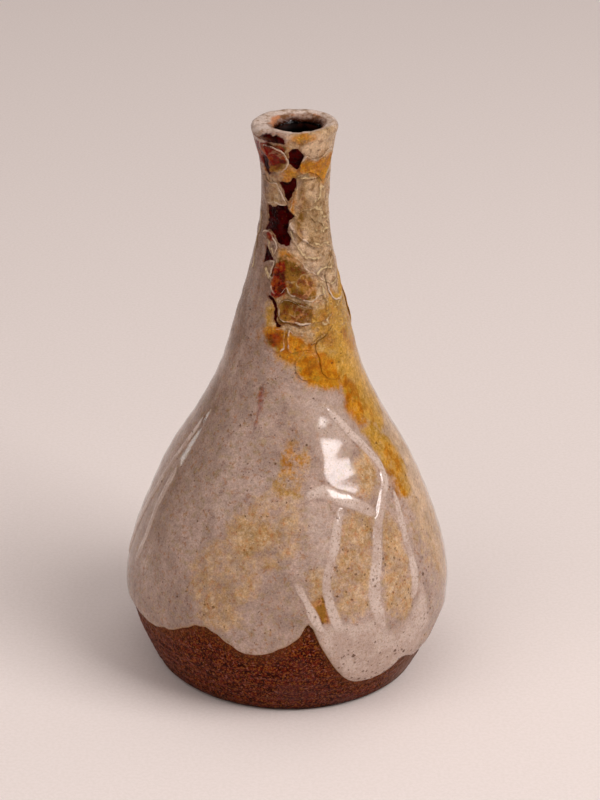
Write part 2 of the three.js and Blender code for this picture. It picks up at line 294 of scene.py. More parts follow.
# The other patterns: each outline on the wall, and how strong it is
AMBER = [
    ([(8, 192), (16, 191.8), (28, 190.6), (44, 190.6), (60, 190.4), (70, 188), (66, 180), (56, 180.4),
      (46, 183.2), (30, 184.6), (16, 185), (5, 186.6)], 1.15),
    ([(-24, 186.4), (-14, 187.4), (-5, 187.2), (4, 187), (6, 185), (-2, 184.2), (-8, 182.9),
      (-20, 182.7)], 1.15),
    ([(-10, 173.6), (-6, 176.2), (-1, 179), (3.4, 179.8), (3.6, 176.6), (-1, 172.8), (-6, 172)], 1.05),
    ([(-22, 160), (-8, 160.4), (-2, 158.7), (5, 157.2), (0, 156.2), (-10, 157.2), (-22, 157)], 1.0),
    ([(-29, 134), (-18, 133.6), (-6, 133), (4, 131), (20, 128.5), (24, 124), (4, 122), (-8, 122.6),
      (-16, 125), (-25, 127), (-28, 130)], 1.15),
    ([(4, 124), (18, 125.4), (32, 124), (40, 121), (45, 114), (40, 109.6), (30, 112.8), (18, 114.4),
      (10, 115.6), (4, 118)], 1.3),
    ([(42, 114), (51, 114), (58, 110), (61, 103), (58, 97), (50, 97.5), (44, 104)], 1.0),
    ([(-38, 131.5), (-33, 131.8), (-31.5, 128), (-36, 127)], 0.6),
    ([(-4, 199), (6, 199.6), (22, 199.4), (28, 198), (16, 196.8), (2, 196.4)], 1.0),
    ([(6, 141.8), (22, 140.4), (27, 137), (22, 134.8), (10, 135), (7, 138)], 0.75),
    ([(-7, 86), (-4, 93), (0, 97.5), (6, 97.5), (11, 91), (9, 85.5), (2, 83.6)], 0.58),
    ([(54, 72), (55, 82), (61, 88.5), (72, 88), (77, 82), (70, 77), (64, 71.4)], 0.62),
    ([(-3, 114.6), (4, 113.6), (6, 110), (1, 109.6)], 0.35),
    ([(100, 142), (112, 146), (130, 142), (140, 130), (126, 120), (106, 122)], 0.8),
    ([(150, 112), (162, 116), (174, 108), (168, 98), (154, 100)], 0.8),
    ([(196, 92), (206, 98), (214, 90), (206, 82), (197, 85)], 0.7),
    ([(176, 150), (190, 156), (200, 140), (196, 122), (186, 118), (178, 132)], 0.85),
]
GOLD = [
    ([(20, 129), (28, 135), (36, 142.6), (50, 144), (66, 142), (84, 150), (100, 146), (108, 124),
      (94, 102), (80, 94), (68, 92), (60, 97), (46, 112), (34, 115), (24, 122)], 0.95),
    ([(-32, 139), (-28, 143), (-18, 142), (-18, 134), (-28, 133)], 0.8),
    ([(14, 136), (26, 140), (44, 141), (44, 135), (24, 133)], 0.9),
    ([(50, 97), (62, 97), (74, 90), (78, 80), (70, 70), (60, 72), (55, 84)], 0.75),
    ([(-12, 80), (-8, 92), (-1, 100), (8, 98), (13, 90), (9, 82), (0, 78)], 0.42),
    ([(-52, 187), (-40, 188), (-22, 187.4), (-22, 184), (-46, 184)], 0.5),
    ([(100, 150), (116, 156), (134, 150), (146, 134), (134, 116), (112, 114), (98, 126)], 0.8),
    ([(160, 160), (184, 168), (206, 156), (212, 132), (198, 108), (178, 112), (164, 134)], 0.85),
]
RUST = [
    ([(-30, 144), (-28.4, 150.5), (-24, 156.4), (-15, 157), (-9, 154), (-8, 149), (-9, 144.6),
      (-14, 143.2), (-22, 142.6)], 1.25),
    ([(-60, 186.4), (-56, 195), (-44, 197), (-30, 195.8), (-18, 193.6), (-12.6, 191), (-17, 188.8),
      (-30, 188.4), (-44, 187)], 1.1),
    ([(-96, 186), (-92, 196), (-74, 197), (-58, 196), (-56, 187), (-70, 188)], 1.0),
    ([(-52, 162.6), (-46, 164.4), (-36, 163.8), (-32, 161.2), (-42, 160.4), (-48, 161.4)], 1.0),
    ([(2, 140), (12, 141), (26, 139), (24, 135), (6, 135.4)], 0.42),
    ([(-27, 131.6), (-12, 132.8), (-7, 129.6), (-12, 125.6), (-20, 125.6), (-26, 128)], 0.62),
    ([(8, 156), (12, 155.8), (34, 150.6), (33, 149.4), (12, 153.6)], 0.6),
    ([(46, 187), (60, 188), (66, 182), (58, 180.6), (50, 183)], 0.35),
    ([(-27, 113), (-23.6, 117), (-20.4, 113), (-20.8, 102), (-23, 95), (-25.8, 102)], 0.6),
    ([(168, 168), (176, 176), (190, 178), (196, 170), (186, 162), (174, 162)], 0.9),
]
DEEP = [
    ([(-27, 157.5), (-12, 159), (4, 156), (16, 153), (27, 150.4), (30, 146.4), (26, 142.8), (10, 142.4),
      (-8, 144.4), (-26, 145), (-29, 149)], 0.95),
    ([(-16, 141), (-6, 143), (10, 141.5), (22, 139.6), (22, 135.6), (12, 134.4), (-4, 134.8),
      (-13, 135)], 1.0),
    ([(-62, 185), (-56, 195.5), (-36, 197), (-18, 195.6), (-11, 191), (-18, 186.6), (-38, 184.6)], 0.8),
    ([(3, 163), (2, 171), (6, 182), (15, 184), (20, 180), (22, 170), (17, 163), (8, 161)], 0.6),
    ([(2, 197.6), (12, 197), (11, 192.4), (4, 194.6)], 0.6),
    ([(152, 178), (170, 182), (192, 180), (198, 166), (184, 156), (164, 158)], 0.8),
    ([(120, 150), (136, 156), (150, 150), (146, 138), (128, 138)], 0.7),
    ([(9, 47), (12, 49.5), (17.5, 42.5), (15, 38.4), (10.5, 39.6)], 0.72),
    ([(10, 187.6), (16, 191.6), (40, 189.8), (66, 191), (70, 187), (52, 183.4), (30, 186)], 0.4),
]
OCHRE = [
    ([(6, 98), (0, 92), (-12, 83), (-24, 74), (-34, 64), (-40, 54), (-38, 44), (-24, 40), (-14, 44),
      (-6, 56), (4, 64), (9, 72), (6, 80), (14, 90)], 0.5),
    ([(-24, 72), (-18, 76), (-8, 74), (-6, 66), (-16, 58), (-26, 60)], 0.75),
    ([(-34, 45), (-24, 52), (-15, 46), (-14, 38), (-22, 34), (-32, 37)], 0.6),
    ([(22, 71), (28, 75.5), (34, 73), (39, 68.5), (37, 60), (33, 52), (31, 44), (29, 40), (22, 40),
      (18, 43), (16.5, 52), (19, 60)], 0.62),
    ([(44, 69.5), (49, 71), (51.5, 66), (52, 58), (52, 46), (50, 38), (45, 34), (39, 38.5), (37, 44),
      (38.5, 55), (41, 62)], 0.66),
    ([(34, 82), (38, 88), (46, 91.5), (50, 88.5), (51, 83), (46, 79), (40, 76.5), (34, 78.5)], 0.75),
    ([(7, 58), (13, 59), (15, 50), (16.5, 42), (13, 39.5), (9, 46)], 0.62),
    ([(18, 129), (34, 132), (48, 140), (62, 142), (80, 152), (104, 150), (112, 120), (100, 100), (80, 92),
      (62, 90), (56, 97), (46, 112), (30, 113)], 0.8),
    ([(-29, 159), (-8, 160), (14, 155), (34, 150), (44, 147), (50, 140), (46, 122), (30, 113), (14, 114),
      (-4, 121), (-24, 128), (-27, 141)], 0.85),
    ([(-56, 190), (-44, 196), (-10, 198), (14, 199), (12, 185), (6, 178), (-6, 168), (-12, 160),
      (-40, 160), (-56, 172)], 0.6),
    ([(4, 184), (24, 185), (30, 176), (26, 168), (12, 163), (-4, 166), (2, 176)], 0.55),
    ([(56, 62), (66, 70), (84, 74), (96, 60), (90, 44), (70, 40), (58, 46)], 0.38),
    ([(112, 126), (132, 150), (160, 152), (186, 138), (192, 120), (168, 104), (136, 108)], 0.6),
    ([(146, 84), (160, 92), (176, 80), (178, 62), (164, 50), (148, 58)], 0.65),
    ([(182, 92), (196, 98), (208, 80), (206, 58), (192, 46), (184, 64)], 0.6),
    ([(222, 86), (238, 92), (250, 78), (246, 60), (230, 54), (220, 66)], 0.6),
]
MILK = [
    ([(8, 41), (12, 32), (18, 21), (25, 14.5), (33, 12.4), (41, 14), (47, 17.6), (56, 18), (62, 28),
      (56, 44), (53, 40), (48, 36), (42, 31.5), (38, 33), (35, 38.6), (30, 39.8), (22, 38.8), (17, 41),
      (12, 38)], 0.62),
    ([(-6, 118), (8, 114.5), (22, 112), (36, 111.6), (44, 105), (52, 98), (56, 88), (52, 90.5),
      (42, 92.5), (30, 88), (20, 86), (14, 92), (8, 100), (-6, 110)], 0.44),
    ([(8, 78), (14, 80), (21, 76), (19, 68), (16, 60), (12, 54), (9, 60), (7, 70)], 0.45),
    ([(122, 100), (134, 104), (150, 92), (140, 78), (126, 84)], 0.45),
    ([(98, 30), (112, 40), (124, 34), (116, 20), (100, 16)], 0.6),
    ([(196, 40), (210, 48), (222, 36), (212, 22), (198, 24)], 0.6),
    ([(210, 104), (224, 112), (240, 98), (252, 92), (246, 84), (226, 90), (212, 94)], 0.5),
]
TAN = [
    ([(-8, 200), (6, 200), (120, 200), (130, 176), (118, 156), (84, 150), (62, 150), (46, 149), (34, 151),
      (12, 156), (-2, 165), (2, 178), (6, 190), (-6, 196)], 0.8),
    ([(-12, 178), (-4, 184), (20, 186), (60, 180), (90, 150), (88, 134), (62, 138), (44, 142), (30, 148),
      (10, 154), (-22, 159), (-10, 162), (0, 166), (-6, 171)], 0.9),
    ([(150, 198), (240, 196), (232, 160), (206, 128), (170, 120), (150, 150)], 0.55),
    ([(52, 150), (64, 140), (90, 130), (108, 96), (100, 60), (84, 36), (70, 34), (62, 60), (58, 96),
      (50, 120), (44, 140)], 0.58),
]
# Painted shade: darker streaky brown on the side away from the light, mostly on the left of the neck and
# belly
SHADE = [
    ([(-58, 158), (-54, 140), (-60, 120), (-64, 96), (-78, 96), (-76, 120), (-70, 140), (-68, 158)], 0.6),
    ([(-92, 92), (-80, 80), (-84, 56), (-96, 52)], 0.3),
    ([(-60, 188), (-34, 182), (-34, 150), (-31, 142), (-36, 126), (-52, 118), (-84, 120),
      (-90, 188)], 0.75),
    ([(-66, 92), (-60, 88), (-59, 66), (-62, 50), (-68, 50), (-67, 70)], 0.5),
    ([(226, 140), (236, 130), (240, 104), (228, 96), (220, 112)], 0.5),
]
SPECKS = [
    ([(14, 30), (20, 15), (33, 12), (47, 16), (60, 18), (60, 34), (44, 30), (30, 24)], 0.8),
    ([(10, 46), (13, 49), (16, 42), (14, 39), (11.5, 40)], 1.3),
    ([(40.5, 43.5), (44, 43.5), (44.5, 41), (41, 40.6)], 1.4),
    ([(17, 60), (36, 60), (34, 42), (20, 38)], 0.55),
    ([(38, 60), (52, 60), (50, 38), (40, 36)], 0.65),
    ([(54, 50), (60, 50), (60, 42), (54, 42)], 0.9),
    ([(-30, 46), (-20, 46), (-20, 38), (-30, 38)], 0.7),
    ([(-10, 128), (6, 124), (4, 108), (-10, 112)], 0.4),
]

# Thin raised wrinkles, and the broken edges of the glaze plates, as lines on the wall; both are given a
# pale painted highlight
WRINKLES = [
    [(10, 185), (25, 184.4), (40, 183.5), (46, 182), (52, 180), (58, 179.4)],
    [(46, 182.4), (48, 178), (52, 174), (50, 170), (54, 166)],
    [(-47, 172), (-45.5, 170.6), (-47, 169.2)],
    [(-45, 161.6), (-42, 160), (-38, 158.8), (-34, 159.2), (-31, 157.6)],
    [(-40, 152), (-34, 150.2), (-30, 148.6)],
    [(34, 150.4), (44, 152.6), (54, 152), (64, 151.6)],
    [(33, 134), (40, 133.4), (38, 135), (44, 136)],
    [(20, 127.5), (27, 129), (35, 130)],
    [(-5, 166), (0, 163.4), (6, 160.4), (12, 158), (20, 156.6), (30, 155.8), (46, 156)],
    [(38, 166), (50, 164.4), (64, 165)],
    [(44, 148), (56, 145.6), (68, 146.4)],
    [(24, 172.6), (36, 173.4), (50, 172)],
    [(24, 162), (36, 160.4), (52, 160.2), (68, 158.2)],
    [(30, 170), (42, 168.4), (56, 169.6), (70, 167)],
    [(22, 177), (34, 175.4), (48, 176)],
    [(34, 147), (40, 145), (44, 141), (42, 138.6)],
    [(60, 137.5), (70, 139.5), (78, 138.5)],
    [(-70, 170), (-74, 160), (-71, 150)],
    [(100, 168), (116, 166), (130, 168.6)],
    [(150, 174), (164, 172), (180, 174.6), (196, 171)],
    [(160, 142), (176, 139), (190, 141.6), (204, 138)],
    [(206, 160), (218, 156), (230, 158.4)],
    [(110, 116), (126, 113), (144, 115.6)],
]
PALE_EDGES = [
    [(-50, 197.4), (-40, 197.2), (-30, 196.8), (-20, 195.6), (-13, 193), (-10.6, 190.4), (-12, 188.4),
     (-18, 186.4)],
    [(12, 194.4), (20, 192), (30, 190.8), (40, 191), (47, 192.6), (56, 193)],
    [(-60, 183.8), (-50, 182.6), (-40, 182.4), (-30, 182), (-24, 179.8), (-18, 177.2), (-12, 175.4),
     (-20, 174.4), (-36, 175), (-48, 174.6)],
    [(-5, 168), (-2, 166), (3, 163.5), (9, 162)],
    [(-58, 163.5), (-50, 164.4), (-42, 164.8), (-34, 163.8), (-30, 162.4), (-24, 160), (-20, 159.6)],
    [(-47, 153.5), (-38, 154.8), (-30, 155.6)],
    [(-20, 159), (-10, 160), (-3, 158), (5, 157), (12, 155), (20, 153), (30, 151.4), (36, 150.4)],
    [(-25, 158), (-27, 155), (-29, 151), (-30, 147), (-29, 144.6)],
    [(-9, 147), (-6, 144.6), (-2, 143.2), (8, 142.5), (15, 141.2), (26, 140.3), (33, 142), (40, 141.5)],
    [(-17, 141), (-15.6, 137), (-13, 135), (-3, 134.6), (5, 133.6), (13, 133), (8, 131.5), (0, 131.5)],
    [(-5, 133), (-4, 130), (-5, 126.5)],
    [(110, 189), (130, 188)],
    [(120, 171), (140, 172)],
    [(122, 165), (150, 164)],
    [(150, 146), (164, 150)],
    [(100, 137), (120, 141)],
    [(48, 144), (58, 140), (72, 139)],
]

# Distances beyond this all look the same
FAR = 9.0


def distance_to(angle, height, line, closed):
    """Millimetres from each place to a line on the wall, negative inside a closed one."""
    radius = near_radius(height)
    middle = np.mean([a for a, z in line])
    turned = wrapped(angle - middle)
    nearest = np.full(angle.shape, FAR)
    inside = np.zeros(angle.shape, bool)
    for (a0, z0), (a1, z1) in zip(line, line[1:] + line[:1] * closed):
        x0 = np.radians(a0 - middle - turned) * radius
        dx = np.radians(a1 - a0) * radius
        y0 = z0 - height
        dy = z1 - z0
        t = np.clip(-(x0 * dx + y0 * dy) / (dx * dx + dy * dy), 0, 1)
        nearest = np.minimum(nearest, np.hypot(x0 + t * dx, y0 + t * dy))
        inside ^= ((y0 > 0) != (y0 + dy > 0)) & (x0 - y0 * dx / (dy or 1) > 0)
    return np.where(inside & closed, -nearest, nearest)


def distance_to_any(angle, height, lines, closed=False):
    return np.min([distance_to(angle, height, line, closed) for line in lines], axis=0)


def painted(angle, height, outlines, blur):
    """How strongly a place is covered by soft-edged outlines."""
    cover = np.zeros(angle.shape)
    for outline, strength in outlines:
        distance = distance_to(angle, height, outline, True)
        cover = np.maximum(cover, strength * smooth_step(blur, -blur, distance))
    return cover


def drifted(angle, height, amount, cell, seed):
    """Places shifted by soft noise of amount millimetres, so that outlines wander."""
    shifts = []
    for first in (seed, seed + 2):
        coarse = solid_noise(angle, height, cell, first)
        shifts.append(amount * (coarse + 0.5 * solid_noise(angle, height, cell * 0.4, first + 1)))
    return angle + np.degrees(shifts[0] / near_radius(height)), height + shifts[1]


def bare_depth(angle, height):
    """How far inside a crawled patch a place is, in millimetres, negative outside it."""
    return -distance_to_any(*drifted(angle, height, 0.55, 2.0, 300), OXBLOOD, True)


def wrinkle_distance(angle, height):
    return distance_to_any(*drifted(angle, height, 0.75, 2.4, 310), WRINKLES)


def paint(angle, height):
    """The paint layers of the outer glaze at places on the wall."""
    loose = drifted(angle, height, 3.2, 9, 320)
    close = drifted(angle, height, 1.2, 4, 330)
    return {
        "oxblood": np.clip(bare_depth(angle, height), -2, 2),
        "wrinkle": np.clip(wrinkle_distance(angle, height), 0, 3),
        "amber": painted(*close, AMBER, 2.6),
        "rust": painted(*close, RUST, 1.4),
        "deep": painted(*close, DEEP, 1.5),
        "ochre": painted(*close, OCHRE, 3.2),
        "gold": painted(*close, GOLD, 3.0),
        "milk": painted(*close, MILK, 2.8),
        "tan": painted(*loose, TAN, 7),
        # painted shade, on the side away from the light
        "shade": painted(*loose, SHADE, 7),
        "specks": painted(*close, SPECKS, 2),
        "neck": smooth_step(112, 136, height),
    }


# ---------------------------------------------------------------- the outer glaze coat


def coat_lift(angle, height):
    """How far the face of the coat stands above the clay."""
    rings = 0.05 * np.sin(height * 0.83 + 2 * soft_noise(angle, height, 6, 40, 21))
    swell = 0.16 * soft_noise(angle, height, 16, 19, 22) + 0.05 * soft_noise(angle, height, 44, 6, 23)
    hem = hem_height(angle)
    hang = smooth_step(30, 16, hem)
    bead = (0.12 + 0.4 * hang) * np.exp(-(((height - hem - 3.2) / 3.4) ** 2))
    crawl = -0.4 * smooth_step(-0.4, 0.3, bare_depth(angle, height))
    wrinkle = 0.3 * np.exp(-((wrinkle_distance(angle, height) / 0.5) ** 2))
    lumpy = 0.14 * solid_noise(angle, height, 3.4, 24) * smooth_step(118, 140, height)
    return COAT + rings + swell + bead + crawl + wrinkle + lumpy


def coat_point(angle, height, above_coat):
    """Points in metres that stand above_coat over the face of the coat."""
    return place(angle, *wall_point(height, coat_lift(angle, height) + above_coat))


def coat_mesh(material):
    """The outer glaze: up the wall from its hem, over the lip, and back down inside itself."""
    angle_row = round_angles(COLUMNS)
    hem = hem_height(angle_row)
    level_start, level_rows = 46, 50
    neck_start, neck_rows = 110, 162
    wall_top = 193.4
    edge_rounding = 1.1

    # Close rows round the hem's edge, rows that even out above it, and level rows to the lip
    edge = hem + np.array([0, 0.08, 0.2, 0.4, 0.65, 1.0, 1.5, 2.2, 3.0])[:, None]
    share = np.linspace(0, 1, 22)[1:-1, None]
    evening = edge[-1] * (1 - share) + level_start * share
    belly = np.linspace(level_start, neck_start, level_rows)[:-1]
    level = np.r_[belly, np.linspace(neck_start, wall_top, neck_rows)][:, None]
    heights = np.r_[edge, evening, np.broadcast_to(level, (len(level), COLUMNS))]
    angles = np.broadcast_to(angle_row, heights.shape)
    rounding = np.clip((heights - hem) / edge_rounding, 0, 1)
    round_edge = np.sqrt(1 - (1 - rounding) ** 2)
    wall = place(angles, *wall_point(heights, coat_lift(angles, heights) * round_edge))

    # Over the lip, as far as the coat reaches into the mouth
    mouth_radius, mouth_end = 9, 194.6
    section = LIP[(LIP[:, 0] >= mouth_radius) | (LIP[:, 1] >= mouth_end)]
    normals = section_normals(section)
    share = np.linspace(0, 1, len(section))[:, None]
    lip_coat = 0.75
    lip_angles = np.broadcast_to(angle_row, (len(section), COLUMNS))
    start = coat_lift(angle_row, np.full(COLUMNS, wall_top))
    swell = 0.14 * soft_noise(lip_angles, 190 + 22 * share + 0 * lip_angles, 26, 4, 31)
    lift = start * (1 - share) + lip_coat * share + swell * smooth_step(0, 0.2, share)
    lift = lift * (1 - 0.75 * smooth_step(0.86, 1, share))
    lip = place(lip_angles, section[:, :1] + normals[:, :1] * lift, section[:, 1:] + normals[:, 1:] * lift)

    # Back down to the hem, hidden just below the face of the clay
    sunk = -0.1
    back_end = 50
    hidden = [(outside_radius(h), h) for h in (188, 176, 160, 140, 120, 104, 90, 76, 62, 52)]
    back = [place(angle_row, r + sunk, h) for r, h in [*section[::-4], *hidden]]
    for share in (0.66, 0.33, 0):
        h = hem * (1 - share) + back_end * share
        back.append(place(angle_row, outside_radius(h) + sunk, h))

    points = np.r_[wall, lip, back]
    heights = np.r_[heights, section[:, 1:] + 0 * lip_angles, np.full((len(back), COLUMNS), 100)]
    angles = np.broadcast_to(angle_row, heights.shape)
    layers = paint(angles, heights)
    layers["lip"] = np.zeros(angles.shape)
    layers["lip"][len(wall):len(wall) + len(lip)] = np.linspace(0, 1, len(lip))[:, None]
    layers["front"] = smooth_step(75, 40, np.abs(wrapped(angles - 14)))
    layers["hem"] = np.exp(-np.clip(heights - hem_height(angles), 0, 50) / 1.2)
    faces = ring_faces(len(points), COLUMNS, True)
    add_mesh("glaze_coat", points, faces, layers, material)


# ---------------------------------------------------------------- clay body and inner glaze


def turned_mesh(node, section, columns, lift, layers_at, material):
    """A closed body whose section starts and ends on the axis. lift(angle, height, radius) raises
    the rows along their normals."""
    normals = section_normals(section)[1:-1]
    rows = section[1:-1]
    shape = (len(rows), columns)
    angle = np.broadcast_to(round_angles(columns), shape)
    radius = np.broadcast_to(rows[:, :1], shape)
    height = np.broadcast_to(rows[:, 1:], shape)
    rise = lift(angle, height, radius)
    body = place(angle, radius + normals[:, :1] * rise, height + normals[:, 1:] * rise)
    ends = place(np.zeros(2), np.zeros(2), section[[0, -1], 1])
    layers = {}
    for layer, values in layers_at(angle, height, radius).items():
        layers[layer] = np.r_[values.ravel(), values[[0, -1], 0]]
    points = np.r_[body.reshape(-1, 3), ends]
    add_mesh(node, points, capped_faces(*shape), layers, material)


def clay_body(material):
    bottom = [(r, 0) for r in (0, 4, 12, 22, 32, 40, 43.4, 44.3)]
    bevel = [(44.9, 0.1), (45.4, 0.42), (45.8, 0.95)]
    bare = [(outside_radius(h), h) for h in np.arange(1.6, 44, 0.6)]
    glazed = [(outside_radius(h), h) for h in np.arange(46, 194, 6)]
    section = np.array([*bottom, *bevel, *bare, *glazed, *LIP[2:], *INSIDE[2:], *FLOOR], float)

    def lift(angle, height, radius):
        foot = smooth_step(0.5, 4, height) * smooth_step(44, 40, height)
        rings = 0.1 * np.sin(height * 1.9 + 1.5 * soft_noise(angle, height, 7, 30, 41))
        grain = 0.09 * soft_noise(angle, height, 300, 1.1, 42)
        rough = 0.12 * soft_noise(angle, height, 60, 5, 43)
        return foot * (rings + grain + rough)

    def layers(angle, height, radius):
        below = hem_height(angle) - height
        return {
            "under": ((height < 0.2) & (radius < 44.5)).astype(float),
            # Painted shade: darker clay at the foot, next to the floor
            "foot_shade": smooth_step(4.5, 0.3, height) * (radius > 43),
            "flash": smooth_step(7, 0, below) * smooth_step(44, 38, height),
            # Painted sheen: greyer clay on the right side, standing in for a reflection of the pale floor
            "grey": smooth_step(40, 62, angle) * smooth_step(150, 110, angle),
        }

    turned_mesh("stoneware_body", section, COLUMNS, lift, layers, material)


def liner_body(material):
    """The glaze inside: from the middle of its back, up to the rim, and down its visible face."""
    thickness, gap = 0.8, 0.02
    path = smooth_path([(8.62, 196.2), (8.45, 195), *INSIDE, *FLOOR], 120)
    normals = section_normals(path)
    face = path + thickness * normals
    back = path + gap * normals
    rim = face[:1] + (0.5, 0.2)
    low = FLOOR[-1][1]
    section = np.r_[[(0, low + gap)], back[-2::-1], rim, face[:-1], [(0, low + thickness)]]

    def lift(angle, height, radius):
        facing = np.arange(len(height))[:, None] > len(height) // 2
        return -0.1 * soft_noise(angle, height, 12, 9, 51) * facing * (radius > 2)

    def layers(angle, height, radius):
        # Painted shade: the inner glaze darkens below the rim, down the mouth
        return {"depth": smooth_step(197.5, 195, height)}

    columns = 128
    turned_mesh("liner_glaze", section, columns, lift, layers, material)


# ---------------------------------------------------------------- curled plates on the neck

PLATES = {
    "leaf": [(-46, 186.2), (-38, 188.2), (-44, 192), (-47, 195.6), (-30, 195.4), (-16, 194), (-11, 191.8),
        (-10.5, 189.5), (-16, 187.2), (-28, 186.2)],
    "collar": [(8, 187.2), (14, 192.6), (22, 191.4), (32, 190.6), (42, 190.9), (50, 192.6), (64, 193),
        (72, 189.5), (64, 185), (52, 182), (44, 183.6), (26, 186.2), (12, 186)],
    "grey": [(-62, 183.5), (-48, 182), (-32, 182.2), (-25, 180.2), (-18, 177.3), (-12, 175.2),
        (-20, 174.7), (-34, 175.2), (-48, 174.8), (-60, 176.5)],
    "broad": [(4, 184.4), (24, 184.6), (40, 182.4), (52, 180), (62, 174.5), (64, 166), (56, 159.5),
        (38, 159.4), (22, 161.6), (8, 164.2), (-3, 166.4), (-7, 168.8), (2, 170.6), (-7, 174),
        (-2, 177.4), (3, 180.6)],
    "tip": [(-57, 163.6), (-48, 164.9), (-38, 164.6), (-31, 162.6), (-25, 160.2), (-29, 157.8),
        (-37, 158.8), (-45, 161.6)],
    "olive": [(-22, 158.8), (-10, 159.6), (-2, 157.9), (8, 156.2), (20, 152.9), (34, 150.2), (42, 147.8),
        (42, 143.6), (32, 143.4), (25, 141.6), (14, 142.3), (6, 143.4), (-4, 144.2), (-9, 146.6),
        (-16, 144.2), (-25, 144.8), (-28.5, 148), (-26, 153)],
    "lower_grey": [(-46, 153.4), (-36, 154.8), (-28, 155.2), (-29, 151.6), (-33, 148.7), (-40, 150.4)],
    "rust": [(-15, 140.6), (-8, 142.6), (2, 141.9), (14, 140.4), (25, 139.6), (34, 141.4), (43, 141.2),
        (47, 138.2), (38, 135), (24, 134.9), (12, 134.3), (-2, 135.3), (-13, 135.9)],
    "amber_left": [(-24, 132.4), (-16, 133), (-7.5, 133.2), (-7, 129), (-8, 125.8), (-15, 125.2),
        (-22, 128)],
    "amber_middle": [(-3.4, 132.8), (2, 131.1), (10, 131.6), (20, 133.2), (30, 133.6), (33, 131.2),
        (24, 129.6), (19, 127.4), (18, 126), (8, 126), (-2, 125.4), (-3.8, 128.6)],
    "amber_low": [(4, 122.6), (11, 124.7), (19, 124.3), (23, 121.4), (22, 117.4), (14, 115.8),
        (6, 117.6)],
    "gold": [(24, 127.4), (36, 130), (48, 132.6), (57, 129), (58, 121), (50, 116.4), (38, 115),
        (28, 117.2), (26, 122)],
    "side": [(47, 150.2), (60, 153.2), (76, 156), (88, 152), (86, 144), (72, 139.4), (56, 140.6),
        (48, 144.5)],
    "back_high": [(104, 187), (122, 189.5), (142, 186), (150, 178), (138, 172), (118, 170.5), (102, 176)],
    "back_middle": [(118, 163), (136, 166), (158, 162), (168, 153), (152, 146), (132, 147.5), (118, 154)],
    "back_low": [(98, 137), (114, 141), (134, 138.5), (142, 130), (126, 123.5), (106, 126)],
}

# How far each plate's edge curls out of the wall, and from which way (degrees from +x to +z)
PLATE_CURL = {
    "leaf": (0.75, 40), "collar": (0.65, 90), "grey": (0.6, 340), "broad": (0.5, 250), "tip": (0.7, 60),
    "olive": (0.65, 300), "lower_grey": (0.5, 320), "rust": (0.6, 250), "amber_left": (0.28, 30),
    "amber_middle": (0.4, 150), "amber_low": (0.2, 60), "gold": (0.16, 160), "side": (0.18, 250),
    "back_high": (0.5, 260), "back_middle": (0.55, 300), "back_low": (0.45, 240),
}


def rounded_outline(outline, step, seed):
    """Points every step millimetres round an outline, in millimetres from its middle, with
    smoothed corners and a ragged edge. Also the middle, and the millimetres in a degree there."""
    points = np.array(outline, float)
    middle = points.mean(axis=0)
    scale = math.radians(1) * (outside_radius(middle[1]) + COAT)
    flat = (points - middle) * (scale, 1)
    size = np.hypot(*np.diff(np.r_[flat, flat[:1]], axis=0).T)
    length = np.r_[0, np.cumsum(size)]
    total = length[-1]
    lapped = np.r_[flat[-2:], flat, flat[:3]]
    at = np.r_[-size[-1] - size[-2], -size[-1], length, total + size[0], total + size[0] + size[1]]
    where = np.arange(int(total / step)) * total / int(total / step)
    x, y = (curve(list(zip(at, column)), where) for column in lapped.T)
    phase = where / total * 360
    count = max(int(total / 1.6), 6)
    ragged = 0.22 * waves(phase, count, seed) + 0.12 * waves(phase, count * 3, seed + 1)
    grown = 1 + ragged / np.hypot(x, y)
    return x * grown, y * grown, middle, scale


